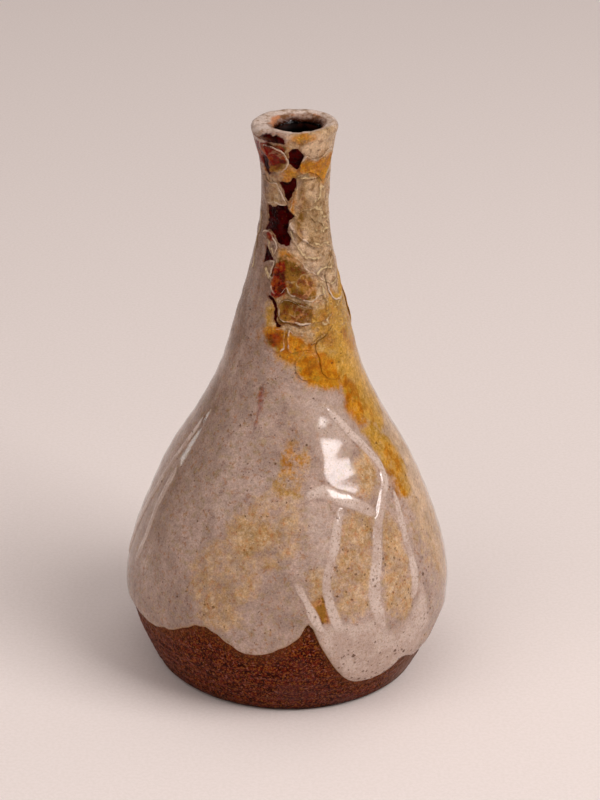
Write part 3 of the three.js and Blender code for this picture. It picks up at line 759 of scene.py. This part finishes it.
def plate_mesh(name, material, seed):
    """A plate with its own thickness, from the middle of its top over the edge to the middle of
    its underside, which sinks into the coat away from the curled edge."""
    x, y, middle, scale = rounded_outline(PLATES[name], 0.3, seed)
    plateau = 0.3
    thickness = 0.34
    sunk = -0.35
    curl, direction = PLATE_CURL[name]
    toward = 0.5 + 0.5 * np.cos(np.arctan2(y, x) - math.radians(direction))
    patchy = 0.5 + 0.5 * waves(np.arange(len(x)) / len(x) * 360, 9, seed + 2)
    lifted = 1.3 * curl * (0.2 + 0.8 * toward) * (0.35 + 0.65 * patchy)

    # Rings at set depths from the edge, closer on a narrow plate, then on towards the middle
    insets = np.array([0.0, 0.1, 0.24, 0.42, 0.66, 0.95, 1.3, 1.8, 2.4])[:, None]
    reach = np.hypot(x, y)
    share = insets * np.minimum(1, 0.9 * reach / insets[-1]) / reach
    share = np.r_[share, [share[-1] + (1 - share[-1]) * s for s in (0.2, 0.4, 0.6, 0.8)]]
    inset = share * reach
    dip = 0.1 * np.exp(-(((inset - 1.5) / 0.7) ** 2))
    face = plateau + lifted * np.exp(-((inset / 0.85) ** 2)) - dip
    top = face - 0.12 * (1 - np.clip(inset / 0.16, 0, 1)) ** 2
    hanging = smooth_step(1.5, 0.5, inset)
    under = (face - thickness) * hanging + sunk * (1 - hanging)
    # A pale painted highlight along the curled edge, strongest on the side where it curls out
    highlight_amount = np.exp(-((inset / (0.5 + 0.3 * patchy)) ** 2)) * (0.3 + 0.7 * toward)

    shrink = 1 - np.r_[share[::-1], share]
    angles = middle[0] + x * shrink / scale
    heights = middle[1] + y * shrink
    bumps = 0.06 * soft_noise(angles[:len(top)], heights[:len(top)], 70, 2.6, seed + 3)
    above = np.r_[top[::-1] + bumps, under]
    angles = np.r_[angles.ravel(), middle[0], middle[0]]
    heights = np.r_[heights.ravel(), middle[1], middle[1]]
    points = coat_point(angles, heights, np.r_[above.ravel(), plateau, sunk])
    layers = paint(angles, heights)
    layers["oxblood"] = np.full(angles.shape, -2.0)
    # The edge layer carries that painted highlight, stronger near the pale edge lines
    near = smooth_step(3.2, 1.4, distance_to_any(angles, heights, PALE_EDGES))
    edges = np.r_[highlight_amount[::-1], 0.4 * np.exp(-inset / 0.3)]
    layers["edge"] = np.r_[edges.ravel(), 0, 0] * (0.25 + 0.75 * near)
    faces = capped_faces(*shrink.shape)
    add_mesh("neck_plate_" + name, points, faces, layers, material)


# ---------------------------------------------------------------- raised glaze runs

# Each run: width, height over the coat, and the line it follows
RUNS = {
    "crest": (4.6, 0.51, [(7, 80.2), (11, 80.9), (17, 81.4), (24, 79.2), (31, 76.6), (38, 73),
        (42, 70.6)]),
    "arc": (4.8, 0.47, [(26, 106), (34, 102), (42, 96), (49, 90.5), (53.5, 85), (53, 80), (48, 75.4),
        (42.5, 69.8), (39, 64), (36.6, 57.5), (34, 51), (33, 45), (34.4, 38), (36, 33)]),
    "inner_branch": (4.6, 0.42, [(25, 76.5), (23, 73.6), (20.6, 69), (19, 64), (16, 58), (14.6, 52.5),
        (15.4, 47), (17, 41), (19, 36)]),
    "outer_branch": (4.0, 0.34, [(56.5, 76), (55.6, 72.6), (54.4, 66), (54, 59), (54, 52), (53.4, 45.5),
        (50, 39.5)]),
    "hem": (3.3, 0.34, [(2.5, 54), (4, 52.5), (6.6, 48.4), (9, 43.6), (11, 39.6), (13, 36.5)]),
    "side_long": (4.0, 0.59, [(-70, 96), (-71, 92), (-74.5, 81), (-79, 68), (-84, 55), (-86.5, 44),
        (-87, 38)]),
    "side_short": (3.6, 0.47, [(-68.3, 79), (-68.5, 75), (-70.5, 64), (-70, 54), (-71, 46), (-72, 42)]),
    "back_left": (4.5, 0.51, [(-129, 100), (-128, 96), (-124, 84), (-127, 70), (-122, 57), (-123, 47),
        (-124, 42)]),
    "back_middle": (4.3, 0.47, [(173, 94), (172, 90), (168, 78), (171, 66), (167, 55), (166, 50)]),
    "back_right": (4.6, 0.51, [(116, 103), (118, 99), (124, 88), (121, 75), (125, 62), (121, 50),
        (123, 41), (124, 37)]),
}


def run_mesh(name, material, seed):
    """A bead of glaze along its line: each ring goes across the top and back underneath."""
    width, height, line = RUNS[name]
    line = np.array(line, float)
    middle = line[:, 0].mean()
    scale = math.radians(1) * (outside_radius(line[:, 1]) + COAT).mean()
    flat = np.c_[(line[:, 0] - middle) * scale, line[:, 1]]
    length = np.hypot(*np.diff(flat, axis=0).T).sum()
    path = smooth_path(flat, int(length / 0.6))
    share = np.linspace(0, 1, len(path))[:, None]
    at = share * length
    ends = np.clip(np.minimum(at, length - at) / (1.4 * width), 0, 1)
    taper = np.sqrt(1 - (1 - ends) ** 2)
    half = np.maximum(0.66 * width * (1 + 0.26 * waves(180 * share, 14, seed)) * taper, 0.02)
    bead = 0.85 * height * (1 + 0.15 * waves(180 * share, 12, seed + 1)) * taper

    sink = 0.06
    buried = 0.4
    spread = np.linspace(-1, 1, 17)
    crown = smooth_step(1, 0.2, np.abs(spread))
    across = section_normals(path)
    sides = path[:, None] + across[:, None] * (half * spread)[..., None]
    sides = np.concatenate([sides, sides[:, -2:0:-1]], axis=1)
    underside = np.zeros((len(path), len(spread) - 2))
    angles = middle + sides[..., 0] / scale
    heights = sides[..., 1]
    ring = coat_point(angles, heights, np.c_[bead * crown - sink, underside - buried])
    points = np.r_[ring.reshape(-1, 3), ring[[0, -1]].mean(axis=1)]
    layers = paint(*(np.r_[grid.ravel(), grid[[0, -1], 0]] for grid in (angles, heights)))
    strength = 0.6 if name.startswith("back") else 0.88
    milky = strength * np.c_[smooth_step(0.05, 0.95, crown) * taper, underside]
    layers["milk"] = np.maximum(layers["milk"], np.r_[milky.ravel(), 0, 0])
    faces = capped_faces(*angles.shape)
    add_mesh("glaze_run_" + name, points, faces, layers, material)


# ---------------------------------------------------------------- materials


def color(red, green, blue):
    """Scene colour from 0-255 display values."""
    return tuple((v / 255) ** 2.2 for v in (red, green, blue)) + (1,)


class Surface:
    """A Principled material and the nodes that drive it. Textures are sized in millimetres, and a
    tone is a node's colour or a tuple of display values."""

    def __init__(self, name):
        self.material = bpy.data.materials.new(name)
        self.material.use_nodes = True
        self.tree = self.material.node_tree
        where = self.node("TexCoord", {}, "Object")
        self.where = self.node("VectorMath", {0: where, "Scale": 1 / MM}, operation="SCALE")

    def put(self, socket, value):
        """Links a socket to a node's output, or sets the socket's own value."""
        if isinstance(value, bpy.types.NodeSocket):
            self.tree.links.new(value, socket)
        else:
            socket.default_value = value

    def node(self, kind, inputs, output=0, **settings):
        """One output of a new node."""
        node = self.tree.nodes.new("ShaderNode" + kind)
        for setting, value in settings.items():
            setattr(node, setting, value)
        for socket, value in inputs.items():
            self.put(node.inputs[socket], value)
        return node.outputs[output]

    def finish(self, inputs):
        for socket, value in inputs.items():
            self.put(self.tree.nodes["Principled BSDF"].inputs[socket], value)
        return self.material

    def layer(self, name):
        return self.node("Attribute", {}, "Fac", attribute_name=name)

    def stretched(self, stretch):
        return self.node("VectorMath", {0: self.where, 1: stretch}, operation="MULTIPLY")

    def noise(self, size, detail, rough, where=None, warp=0):
        inputs = {"Vector": where or self.where, "Scale": 1 / size, "Detail": detail}
        return self.node("TexNoise", {**inputs, "Roughness": rough, "Distortion": warp}, "Fac")

    def warped(self, size, amount, where):
        """A place pushed about by noise of amount millimetres."""
        noise = self.node("TexNoise", {"Vector": self.where, "Scale": 1 / size}, "Color")
        push = self.node("VectorMath", {0: noise, "Scale": amount}, operation="SCALE")
        return self.node("VectorMath", {0: push, 1: where}, operation="ADD")

    def cells(self, size, where, feature="F1", output="Distance"):
        return self.node("TexVoronoi", {"Vector": where, "Scale": 1 / size}, output, feature=feature)

    def times(self, a, b):
        return self.node("Math", {0: a, 1: b}, operation="MULTIPLY")

    def plus(self, a, b):
        return self.node("Math", {0: a, 1: b}, operation="ADD")

    def minus(self, a, b):
        return self.node("Math", {0: a, 1: b}, operation="SUBTRACT")

    def most(self, a, b):
        return self.node("Math", {0: a, 1: b}, operation="MAXIMUM")

    def ramp(self, value, low, high, to_low=0.0, to_high=1.0):
        inputs = {"Value": value, "From Min": low, "From Max": high, "To Min": to_low, "To Max": to_high}
        return self.node("MapRange", inputs, "Result", interpolation_type="SMOOTHSTEP")

    def mix(self, a, b, share):
        a, b = (color(*tone) if isinstance(tone, tuple) else tone for tone in (a, b))
        return self.node("Mix", {0: share, 6: a, 7: b}, 2, data_type="RGBA")

    def mottled(self, tone, *patches):
        """A tone with patches of others. Each patch is its tone, and the noise that brings it in
        between a low and a high value, up to a share."""
        for patch, noise, low, high, share in patches:
            tone = self.mix(tone, patch, self.ramp(noise, low, high, 0, share))
        return tone

    def scaled(self, tone, amount):
        return self.node("VectorMath", {0: tone, "Scale": amount}, operation="SCALE")

    def bump(self, height, distance, strength, below=None):
        inputs = {"Height": height, "Distance": distance * MM, "Strength": strength}
        if below is not None:
            inputs["Normal"] = below
        return self.node("Bump", inputs, "Normal")


def glaze_material(name, edge_layer, shine):
    """The outer glaze, for the coat (edge_layer "lip"), the plates ("edge") or the runs (None)."""
    s = Surface(name)
    cloud = s.noise(10, 4, 0.62)
    mottle = s.noise(2.6, 4, 0.7)
    fine = s.noise(0.9, 3, 0.65)
    blots = s.noise(5.5, 3, 0.6)
    flaky = s.noise(1.9, 4, 0.7)
    olive = s.noise(3.6, 3, 0.6)
    grit = s.noise(0.6, 3, 0.7)
    patchy = s.noise(7, 2, 0.5)
    wander = s.plus(s.plus(s.times(mottle, 0.4), s.times(fine, 0.2)), s.times(blots, 0.4))
    ragged = s.times(s.minus(fine, 0.5), 0.5)

    def covered(layer, low, high, wild):
        """A paint layer whose edge is broken up by the mottling."""
        return s.ramp(s.plus(s.layer(layer), s.times(s.minus(wander, 0.5), wild)), low, high)

    base = s.mottled(
        (185, 158, 145),
        ((165, 139, 126), s.noise(30, 2, 0.5), 0.38, 0.62, 1),
        ((190, 166, 152), cloud, 0.5, 0.72, 0.55),
        ((158, 134, 100), mottle, 0.5, 0.66, 0.65),
        ((138, 106, 94), mottle, 0.47, 0.3, 0.6),
        ((160, 110, 72), s.noise(1.5, 3, 0.65), 0.54, 0.66, 0.6),
    )
    # Painted shade: darker brown streaks on the side away from the light
    streaks = s.ramp(s.noise(6, 3, 0.6, s.stretched((1, 1, 0.2))), 0.3, 0.6)
    base = s.mix(base, (122, 86, 62), s.times(s.layer("shade"), streaks))
    tan = s.mottled(
        (203, 169, 135),
        ((169, 135, 96), cloud, 0.42, 0.6, 1),
        ((160, 106, 60), blots, 0.57, 0.65, 0.45),
        ((206, 178, 142), mottle, 0.52, 0.72, 0.7),
        ((140, 104, 66), mottle, 0.45, 0.32, 0.6),
    )
    base = s.mix(base, tan, covered("tan", 0.15, 0.75, 1.0))
    ochre = s.mottled(
        (190, 153, 112),
        ((174, 136, 92), cloud, 0.4, 0.62, 1),
        ((204, 174, 142), flaky, 0.5, 0.62, 0.75),
        ((174, 104, 54), flaky, 0.47, 0.36, 0.6),
        ((142, 114, 66), olive, 0.55, 0.68, 0.4),
    )
    base = s.mix(base, ochre, covered("ochre", 0.15, 0.8, 2.2))
    gold = s.mottled(
        (198, 148, 66),
        ((170, 124, 44), mottle, 0.4, 0.6, 1),
        ((206, 166, 96), flaky, 0.52, 0.66, 0.7),
        ((160, 92, 22), cloud, 0.48, 0.34, 0.6),
    )
    base = s.mix(base, gold, covered("gold", 0.25, 0.8, 1.5))
    amber = s.mottled(
        (197, 134, 36),
        ((175, 100, 16), mottle, 0.4, 0.62, 1),
        ((202, 144, 40), flaky, 0.52, 0.68, 0.6),
        ((138, 78, 18), cloud, 0.48, 0.36, 0.75),
        ((150, 122, 44), olive, 0.56, 0.66, 0.6),
    )
    base = s.mix(base, amber, covered("amber", 0.2, 1.0, 2.4))
    deep = s.mottled(
        (150, 102, 38),
        ((108, 74, 14), cloud, 0.42, 0.58, 1),
        ((184, 130, 84), s.noise(4.4, 4, 0.65), 0.52, 0.62, 0.85),
        ((116, 38, 4), mottle, 0.5, 0.38, 0.75),
    )
    base = s.mix(base, deep, covered("deep", 0.25, 0.75, 0.9))
    rust = s.mottled(
        (122, 18, 1),
        ((150, 70, 16), mottle, 0.46, 0.62, 1),
        ((60, 10, 2), s.noise(3.4, 4, 0.65), 0.5, 0.4, 0.85),
    )
    base = s.mix(base, rust, covered("rust", 0.3, 0.8, 1.2))
    blotch = s.ramp(s.noise(4.5, 4, 0.6), 0.35, 0.65, 0.86, 1.09)
    base = s.scaled(base, s.times(blotch, s.ramp(grit, 0.32, 0.68, 0.8, 1.17)))
    milk = s.mottled(
        (207, 185, 173),
        ((188, 163, 150), cloud, 0.42, 0.6, 1),
        ((158, 126, 104), fine, 0.5, 0.66, 0.65),
    )
    milk = s.scaled(milk, s.ramp(grit, 0.32, 0.68, 0.88, 1.1))
    base = s.mix(base, milk, covered("milk", 0.12, 0.85, 0.8))

    # Crackle on the neck's pale glaze, paler along its raised lines as a painted highlight, and hollows
    # darkened as painted shade
    on_neck = s.times(s.layer("neck"), s.most(s.layer("tan"), s.layer("ochre")))
    crackle = s.cells(11, s.warped(6, 10, s.stretched((0.8, 0.8, 1.5))), "DISTANCE_TO_EDGE")
    crackle = s.times(s.ramp(crackle, 0.0, 0.06, 1, 0), s.times(s.ramp(patchy, 0.48, 0.6), on_neck))
    crackle = s.times(crackle, s.minus(1.0, s.times(s.layer("amber"), 0.7)))
    base = s.mix(base, (206, 176, 132), s.times(crackle, 0.45))
    hollow = s.times(s.ramp(s.noise(2.6, 4, 0.7, warp=0.3), 0.47, 0.36), on_neck)
    base = s.mix(base, (104, 66, 22), s.times(hollow, 0.6))

    # Wrinkles, with a pale painted highlight on their ridge and painted shade along their foot
    apart = s.plus(s.layer("wrinkle"), ragged)
    ridge = s.ramp(apart, 0.12, 0.5, 1, 0)
    foot = s.minus(s.ramp(apart, 0.6, 1.3, 1, 0), ridge)
    base = s.mix(base, (112, 82, 46), s.times(foot, 0.35))
    broken = s.ramp(s.noise(3.5, 3, 0.6), 0.4, 0.58, 0.05, 0.85)
    base = s.mix(base, (214, 186, 142), s.times(ridge, broken))

    # Bare patches, with a brown shore
    depth = s.plus(s.layer("oxblood"), s.times(ragged, 0.8))
    bare = s.ramp(depth, -0.12, 0.12)
    shore = s.minus(s.ramp(depth, -0.75, -0.15), bare)
    base = s.mix(base, (120, 60, 20), s.times(shore, 0.35))
    base = s.mix(base, s.mottled((64, 4, 3), ((26, 1, 1), mottle, 0.4, 0.62, 1)), bare)

    def dots(cell, least, most, shift):
        """Round specks, at most one in each cell, of random size."""
        where = s.warped(0.7, 0.9, s.where)
        where = s.node("VectorMath", {0: where, 1: (shift, 0, 0)}, operation="ADD")
        luck = s.ramp(s.cells(cell, where, "F1", "Color"), 0.3, 0.8)
        size = s.ramp(s.plus(luck, s.times(s.layer("specks"), 0.6)), 0.35, 1.4, least, most)
        return s.ramp(s.minus(size, s.cells(cell, where)), 0.0, 0.07)

    specks = s.most(s.times(dots(1.7, -0.03, 0.34, 3), 0.6), s.times(dots(3.4, -0.03, 0.25, 60), 0.8))
    base = s.mix(base, (84, 50, 26), specks)

    if edge_layer == "edge":
        # A pale painted highlight along the plates' curled edges, broken up by noise
        pale = s.ramp(s.plus(s.layer("edge"), ragged), 0.25, 0.6)
        highlight_amount = s.ramp(s.noise(4, 3, 0.6), 0.42, 0.56, 0.08, 0.9)
        base = s.mix(base, (208, 182, 160), s.times(pale, highlight_amount))
    if edge_layer == "lip":
        # From the pale rim, over a broken brown line, to the brown glaze inside, which painted shade
        # darkens to black down the mouth
        rim = s.mottled((222, 200, 187), ((160, 128, 104), mottle, 0.46, 0.64, 1))
        on_rim = s.minus(s.layer("lip"), s.times(s.layer("front"), 0.13))
        base = s.mix(base, rim, s.ramp(on_rim, 0.3, 0.4, 0, 0.85))
        inward = s.plus(s.layer("lip"), s.times(s.minus(cloud, 0.5), 0.35))
        brown = s.mottled(
            (164, 134, 118),
            ((112, 74, 46), mottle, 0.42, 0.58, 1),
            ((196, 128, 88), patchy, 0.53, 0.6, 0.8),
            ((74, 36, 18), inward, 0.7, 0.78, 1),
        )
        base = s.mix(base, brown, s.ramp(inward, 0.6, 0.68))
        outer = s.minus(s.ramp(inward, 0.26, 0.31), s.ramp(inward, 0.33, 0.37))
        outer = s.times(outer, s.minus(1.0, s.layer("front")))
        base = s.mix(base, (120, 74, 44), s.times(outer, 0.75))
        # Painted shade: black down inside the mouth
        base = s.mix(base, (8, 3, 2), s.ramp(inward, 0.77, 0.84))
        base = s.mix(base, (166, 122, 72), s.ramp(s.layer("hem"), 0.3, 0.9, 0, 0.7))

    relief = s.plus(s.times(cloud, 0.5), s.times(mottle, 0.12))
    normal = s.bump(s.minus(relief, s.times(specks, 0.12)), 0.35, 0.35)
    lines = s.minus(s.plus(s.times(crackle, 0.6), ridge), s.times(hollow, 0.5))
    coarse = s.times(s.times(s.noise(1.7, 3, 0.6), s.layer("neck")), 2.8)
    gloss = s.ramp(mottle, 0.3, 0.75, 0.07, 0.16)
    return s.finish({
        "Base Color": base,
        "Roughness": s.plus(gloss, s.times(s.layer("neck"), 0.16)),
        "IOR": 1.5,
        "Specular IOR Level": shine,
        "Specular Tint": s.mix((255, 255, 255), (110, 24, 18), bare),
        "Normal": s.bump(s.plus(lines, coarse), 0.4, 0.8, normal),
    })


def clay_material():
    s = Surface("bare_stoneware")
    grain = s.noise(0.7, 2, 0.7)
    coarse = s.noise(1.8, 3, 0.7)
    base = s.mottled(
        (104, 28, 10),
        ((60, 12, 5), coarse, 0.42, 0.58, 1),
        ((140, 84, 34), grain, 0.53, 0.62, 0.85),
        ((14, 1, 1), grain, 0.48, 0.4, 0.95),
        ((150, 96, 84), s.noise(1.1, 2, 0.6), 0.6, 0.68, 0.7),
        ((92, 56, 54), s.noise(16, 3, 0.55), 0.5, 0.7, 0.35),
    )
    flecks = s.times(s.ramp(s.cells(1.4, s.where), 0.22, 0.1), s.ramp(coarse, 0.5, 0.62, 0, 0.6))
    base = s.mix(base, (176, 124, 66), flecks)
    # Painted sheen on the right side's clay, standing in for a reflection of the pale floor
    base = s.mix(base, (128, 104, 92), s.times(s.layer("grey"), 0.6))
    base = s.mix(base, (110, 66, 36), s.times(s.layer("flash"), 0.4))
    # Painted shade at the foot, next to the floor
    base = s.mix(base, (36, 16, 12), s.times(s.layer("foot_shade"), 0.55))
    base = s.mix(base, (120, 78, 56), s.times(s.layer("under"), 0.6))
    return s.finish({
        "Base Color": base,
        "Roughness": s.ramp(coarse, 0.35, 0.65, 0.45, 0.75),
        "IOR": 1.45,
        "Specular IOR Level": 0.15,
        "Specular Tint": color(240, 190, 170),
        "Normal": s.bump(s.plus(s.times(coarse, 0.7), s.times(grain, 0.5)), 0.45, 0.6),
    })


def liner_material():
    s = Surface("inner_glaze")
    mottle = s.noise(2.4, 4, 0.6)
    base = s.mottled((58, 24, 12), ((26, 10, 6), mottle, 0.4, 0.6, 1))
    return s.finish({
        # Painted shade: nearly black below the rim, down the mouth
        "Base Color": s.mix(base, (6, 3, 2), s.layer("depth")),
        "Roughness": s.ramp(mottle, 0.3, 0.7, 0.5, 0.65),
        "Specular IOR Level": 0.05,
        "Normal": s.bump(mottle, 0.3, 0.4),
    })


# ---------------------------------------------------------------- stage, light and camera


def plain_floor():
    s = Surface("pale_floor")
    weave = s.noise(1.2, 3, 0.6)
    material = s.finish({
        "Base Color": s.mottled((243, 231, 227), ((238, 226, 221), weave, 0.35, 0.65, 1)),
        "Roughness": 0.9,
        "Specular IOR Level": 0.2,
        "Normal": s.bump(weave, 0.2, 0.2),
    })
    half = 3.0
    mesh = bpy.data.meshes.new("floor")
    corners = [(-half, -half, 0), (half, -half, 0), (half, half, 0), (-half, half, 0)]
    mesh.from_pydata(corners, [], [(0, 1, 2, 3)])
    mesh.materials.append(material)
    floor = bpy.data.objects.new("floor", mesh)
    bpy.context.scene.collection.objects.link(floor)


def panel(name, direction, distance, width, height, power, tint, mirror=False):
    """A lit panel that faces the bottle, in metres: either a soft light, or a mirror light that
    shows only as a reflection in the glaze."""
    light = bpy.data.lights.new(name, "AREA")
    light.shape = "RECTANGLE"
    light.size = width
    light.size_y = height
    light.energy = power
    light.color = tint
    lamp = bpy.data.objects.new(name, light)
    bpy.context.scene.collection.objects.link(lamp)
    lamp.visible_glossy = mirror
    lamp.visible_diffuse = not mirror
    toward = Vector(direction).normalized()
    lamp.location = Vector((0, 0, 0.09)) + toward * distance
    lamp.rotation_euler = toward.to_track_quat("Z", "Y").to_euler()


def lighting():
    # direction, distance, width, height, power and tint of each
    panel("wall", (0.72, -0.4, 0.75), 1.7, 1.1, 1.1, 20, (1, 0.97, 0.95))
    panel("room", (-0.75, -0.7, 0.8), 1.8, 1.6, 1.6, 8, (1, 0.95, 0.93))
    panel("ceiling", (0, 0.1, 1), 3, 4.2, 4.2, 36, (1, 0.97, 0.95))
    panel("window", (0.73, -0.5, 0.505), 1.15, 0.54, 0.23, 11, (1, 0.95, 0.96), True)
    panel("doorway", (-0.83, 0.56, 0.25), 1.4, 0.16, 0.6, 1.3, (0.97, 1, 0.97), True)
    world = bpy.data.worlds.new("room")
    world.use_nodes = True
    background = world.node_tree.nodes["Background"]
    background.inputs["Color"].default_value = color(230, 214, 208)
    background.inputs["Strength"].default_value = 0.2
    bpy.context.scene.world = world
    bpy.context.scene.view_settings.view_transform = "Standard"


def camera():
    """Seen from the front and 25 degrees above, through a long lens. Angles are in radians."""
    pitch = 0.4346
    yaw = -0.0037
    roll = 0.0209
    eye = Vector((0, -4.4019, 2.5349)) * HEIGHT * MM
    right = Vector((math.cos(yaw), math.sin(yaw), 0))
    up = Vector((-math.sin(yaw) * math.sin(pitch), math.cos(yaw) * math.sin(pitch), math.cos(pitch)))
    x = right * math.cos(roll) + up * math.sin(roll)
    y = up * math.cos(roll) - right * math.sin(roll)
    lens = bpy.data.cameras.new("camera")
    lens.lens = 125.2
    lens.clip_end = 20
    eyepiece = bpy.data.objects.new("camera", lens)
    bpy.context.scene.collection.objects.link(eyepiece)
    turn = Matrix((x, y, x.cross(y))).transposed().to_4x4()
    eyepiece.matrix_world = Matrix.Translation(eye) @ turn
    bpy.context.scene.camera = eyepiece


# ---------------------------------------------------------------- build

camera()
lighting()
plain_floor()
clay_body(clay_material())
liner_body(liner_material())
coat_mesh(glaze_material("coat_glaze", "lip", 0.24))
plate_glaze = glaze_material("plate_glaze", "edge", 0.12)
for number, plate in enumerate(PLATES):
    plate_mesh(plate, plate_glaze, 100 + 10 * number)
run_glaze = glaze_material("run_glaze", None, 0.24)
for number, run in enumerate(RUNS):
    run_mesh(run, run_glaze, 400 + 10 * number)
